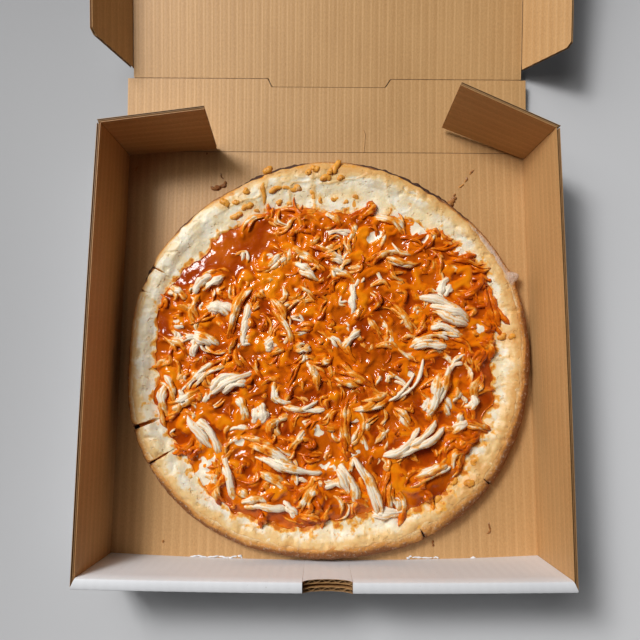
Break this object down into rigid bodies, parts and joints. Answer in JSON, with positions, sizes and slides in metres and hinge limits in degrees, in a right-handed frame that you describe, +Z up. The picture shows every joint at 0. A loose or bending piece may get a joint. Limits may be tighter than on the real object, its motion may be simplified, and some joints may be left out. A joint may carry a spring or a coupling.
{
  "type": "pizza in its box",
  "caption": "Round pizza topped with cheese, sauce and shredded chicken, lying in an open corrugated-board box whose back wall, lid and flaps fold shut over it.",
  "frame": {"origin": "middle of the tray's underside, on the surface that the box lies on", "axes": "+Z up; +Y from the front wall with the thumb notch to the back panel and lid; +X to the right seen from the front"},
  "size_m": [0.349, 0.6768, 0.0899],
  "materials": {
    "board": "matt kraft corrugated board, white outside",
    "dough": "baked dough, matt, browned at the edge",
    "cheese": "melted cheese, satin",
    "sauce": "wet orange-red sauce over pale chicken, glossy"
  },
  "bodies": {
    "tray": {"tray": "board", "crust": "dough", "cheese": "cheese", "chicken_in_sauce": "sauce"},
    "back_wall": {"back_panel": "board"},
    "lid": {"lid": "board"},
    "lid_flap_left": {"lid_flap_left": "board"},
    "lid_flap_right": {"lid_flap_right": "board"},
    "lid_front_flap": {"lid_front_flap": "board"},
    "corner_flap_left": {"corner_flap_left": "board"},
    "corner_flap_right": {"corner_flap_right": "board"}
  },
  "joints": [
    {"name": "back_wall_fold", "type": "hinge", "parent": "tray", "child": "back_wall", "pos_m": [0, 0.1506, 0.0026], "axis": [1, 0, 0], "range_deg": [-5.5, 84.5]},
    {"name": "lid_fold", "type": "hinge", "parent": "back_wall", "child": "lid", "pos_m": [0.0005, 0.20803, 0.00813], "axis": [1, 0, 0], "range_deg": [-3.5, 86.5]},
    {"name": "lid_flap_left_fold", "type": "hinge", "parent": "lid", "child": "lid_flap_left", "pos_m": [-0.1507, 0.20803, 0.00813], "axis": [0, 0.9877, 0.1564], "range_deg": [-64, 30]},
    {"name": "lid_flap_right_fold", "type": "hinge", "parent": "lid", "child": "lid_flap_right", "pos_m": [0.1517, 0.20803, 0.00813], "axis": [0, -0.9877, -0.1564], "range_deg": [-52, 42]},
    {"name": "lid_front_flap_fold", "type": "hinge", "parent": "lid", "child": "lid_front_flap", "pos_m": [0.0005, 0.50039, 0.05443], "axis": [1, 0, 0], "range_deg": [-60, 30]},
    {"name": "corner_left_fold", "type": "hinge", "parent": "tray", "child": "corner_flap_left", "pos_m": [-0.1525, 0.1472, 0.0026], "axis": [0.0298, 0, -0.9996], "range_deg": [-1, 10]},
    {"name": "corner_right_fold", "type": "hinge", "parent": "tray", "child": "corner_flap_right", "pos_m": [0.1525, 0.1456, 0.0026], "axis": [0.0551, 0, 0.9985], "range_deg": [-3, 38]}
  ],
  "couplings": [
    {"joint": "corner_left_fold", "follows": "back_wall_fold", "ratio": 0.1124},
    {"joint": "corner_right_fold", "follows": "back_wall_fold", "ratio": 0.4426}
  ]
}
